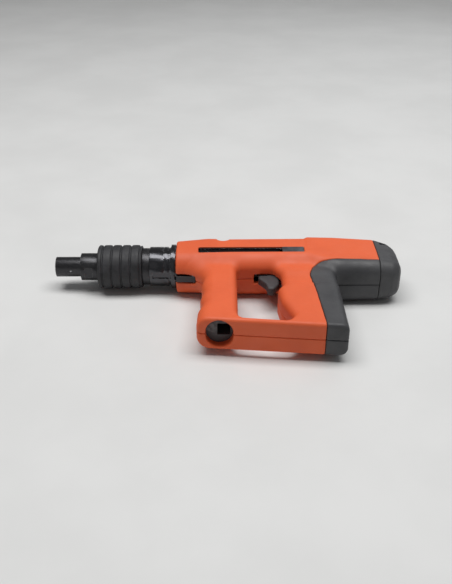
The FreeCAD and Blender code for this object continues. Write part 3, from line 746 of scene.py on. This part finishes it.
def ribbed_sleeve():
    """Ribbed rubber over the muzzle base: soft ribs between U-shaped grooves, with rounded ends."""
    low, high = span("rubber_sleeve")
    front, back, radius = low[0], high[0], high[1]
    grooves = [front + FIRST_GROOVE + GROOVE_PITCH * k for k in range(GROOVE_COUNT)]
    crests = [at + GROOVE_PITCH / 2 for at in grooves]
    outside = []
    for x in np.arange(front, back + 1e-6, 0.25):
        depth = sum(GROOVE_DEPTH / (1 + ((x - at) / GROOVE_WIDTH) ** 4) for at in grooves)
        crest = CREST_HEIGHT * sum(math.exp(-((x - at) / CREST_WIDTH) ** 2) for at in crests)
        ends = (max(0, 1 - end / SLEEVE_EDGE) ** 2 for end in (x - front, back - x))
        outside.append((x, radius - 0.35 - depth + crest - SLEEVE_EDGE * sum(ends)))
    inside = [(back, 19.4), (back - 0.4, SLEEVE_BORE), (front + 0.4, SLEEVE_BORE), (front, 16.6)]
    stand_for(lathe("ribbed_sleeve", outside + inside), "barrel", "rubber_sleeve")


ribbed_sleeve()


# ---------------------------------------------------------------- trigger

TRIGGER = [
    (216.6, -20.4, 1.0), (224.4, -20.8, 2), (228.0, -30, 5), (227.2, -43, 8), (221.5, -52.6, 3),
    (215.4, -52.6, 2.5), (214.0, -42.5, 14), (207.0, -32.0, 3), (207.4, -26.7, 1), (216.0, -26.7, 1),
]
TRIGGER_HALF, TRIGGER_ROUND = 4.5, 2.2
RIB_DEPTH, RIB_PITCH = 0.25, 2.6      # grooves across the finger face
PIN_HOLE = 1.6                # radius of the pivot hole


def trigger_blade():
    """Curved trigger with rounded edges and shallow grooves across its finger face."""
    step = 0.4
    low, high = span("trigger")
    low, high = low - 3 * step, high + 3 * step
    x, y, z = grid(low, high, step)
    side = outline_distance(x, y, TRIGGER)
    wave = 0.5 + 0.5 * np.cos((y + 40) * 2 * math.pi / RIB_PITCH)
    ribs = RIB_DEPTH * wave * smooth_step((218 - x) / 3)
    form = rounded_plate(side, z, TRIGGER_HALF, TRIGGER_ROUND) + ribs * smooth_step((-y - 32) / 4)
    pivot = span("trigger_pin")
    middle = (pivot[0] + pivot[1]) / 2
    form = np.maximum(form, -post_distance(x, y, middle, PIN_HOLE))
    stand_for(skin("trigger_blade", form, low, step), "trigger", "trigger")


trigger_blade()


# ---------------------------------------------------------------- springs

def springs():
    """Coil springs set between the parts at their two ends."""
    press = coil("press_coil", (229.3, 0, 0), (255.7, 0, 0), radius=19.0, wire=0.9, turns=5)
    stand_for(press, None, "press_spring")
    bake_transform(press)
    firing = coil("firing_coil", (236.2, 0, 0), (258.8, 0, 0), radius=4.8, wire=0.7, turns=6)
    stand_for(firing, None, "firing_spring")
    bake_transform(firing)
    pull = coil("trigger_coil", (228.2, -37, 0), (236.8, -37, 0), radius=2.6, wire=0.4, turns=5)
    stand_for(pull, None, "trigger_spring")
    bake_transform(pull)
    feed = coil("feed_coil", (159, -105.8, 0), (159, -86.4, 0), radius=2.4, wire=0.45, turns=7)
    stand_for(feed, None, "feed_spring")
    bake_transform(feed)
    catch = coil("catch_coil", (142, -25, 3.25), (142, -25, 4.75), radius=2.0, wire=0.3, turns=3)
    stand_for(catch, "housing", "catch_spring")


springs()


# ---------------------------------------------------------------- carried-over CAD nodes

DULLED = {"slot_guide": "rubbed_steel", "feed_slide": "rubbed_steel"}
EDGE_WIDTH = {       # in millimetres
    "blued_steel": 0.35, "polished_black": 0.3, "bright_steel": 0.25, "zinc_screw": 0.25,
    "black_plastic": 0.4, "black_rubber": 0.5, "spring_steel": 0.15,
}


def soften_edges(node, width):
    """Joins the mesh's loose face edges and rounds its sharp corners."""
    weld = node.modifiers.new("join", "WELD")
    weld.merge_threshold = 1e-6
    bevel = node.modifiers.new("soft_edges", "BEVEL")
    bevel.width = width * MM
    bevel.segments = 2
    bevel.limit_method = "ANGLE"
    bevel.angle_limit = math.radians(40)
    bevel.harden_normals = True


for name, node in NODES.items():
    if not node.hide_render:
        finish_with(node, DULLED.get(name, SLOTS[name]))
        soften_edges(node, EDGE_WIDTH[SLOTS[name]])


# ---------------------------------------------------------------- floor, light and camera

def pale_floor():
    """The table that the tool lies on."""
    half, height = 12.0, cad_box[0][2]
    points = [(x, y, height) for x, y in ((-half, -half), (half, -half), (half, half), (-half, half))]
    floor = mesh_object("floor", points, [(0, 1, 2, 3)])
    material, tree, shader, where = new_material("floor_paper")
    tone = ramp(tree, noise(tree, where, 8, 4), 0.3, 0.7)
    tree.links.new(mix(tree, tone, (0.66, 0.66, 0.65), (0.70, 0.70, 0.69)), shader.inputs["Base Color"])
    shader.inputs["Roughness"].default_value = 0.7
    tree.links.new(bump(tree, noise(tree, where, 900, 3), 0.05, 0.0003), shader.inputs["Normal"])
    floor.data.materials.append(material)


def softbox(name, place, target, size, power, colour=(1, 1, 1)):
    """A rectangular lamp of so many watts, turned to its target."""
    lamp = bpy.data.lights.new(name, "AREA")
    lamp.shape = "RECTANGLE"
    lamp.size, lamp.size_y = size
    lamp.energy = power
    lamp.color = colour
    holder = bpy.data.objects.new(name, lamp)
    holder.location = place
    holder.rotation_euler = (Vector(target) - Vector(place)).to_track_quat("-Z", "Y").to_euler()
    bpy.context.scene.collection.objects.link(holder)


def studio():
    """A long softbox overhead, two faint ones and a dim sky."""
    low, high = (Vector(corner) for corner in cad_box)
    middle = (low + high) / 2
    axis = Vector((middle.x, 0, 0))
    softbox("key", axis + Vector((0, 0, 1.9)), axis, (2.4, 0.9), 42)
    softbox("front", axis + Vector((-0.5, -1.2, 0.8)), axis, (0.9, 0.9), 0.3, (1.0, 0.98, 0.95))
    softbox("back", axis + Vector((0.6, 1.1, 0.7)), axis, (0.9, 0.6), 1.2, (0.95, 0.98, 1.0))
    world = bpy.data.worlds.new("studio")
    world.use_nodes = True
    sky = world.node_tree.nodes["Background"]
    sky.inputs["Color"].default_value = (0.92, 0.93, 0.95, 1)
    sky.inputs["Strength"].default_value = 0.16
    bpy.context.scene.world = world


def camera():
    """Stands where the tool is seen from its grip side, about thirty degrees above it."""
    data = bpy.data.cameras.new("camera")
    data.sensor_fit = "HORIZONTAL"
    data.sensor_width = 36.0
    data.lens = 62.0
    data.clip_start, data.clip_end = 0.05, 50
    place = bpy.data.objects.new("camera", data)
    place.location = (0.1693, -0.7053, 0.395)
    target = Vector((0.1745, -0.052, 0.0))
    place.rotation_euler = (target - place.location).to_track_quat("-Z", "Y").to_euler()
    bpy.context.scene.collection.objects.link(place)
    bpy.context.scene.camera = place


pale_floor()
studio()
camera()
bpy.context.scene.view_settings.view_transform = "Standard"      # keeps the orange at full strength

bpy.context.view_layer.update()
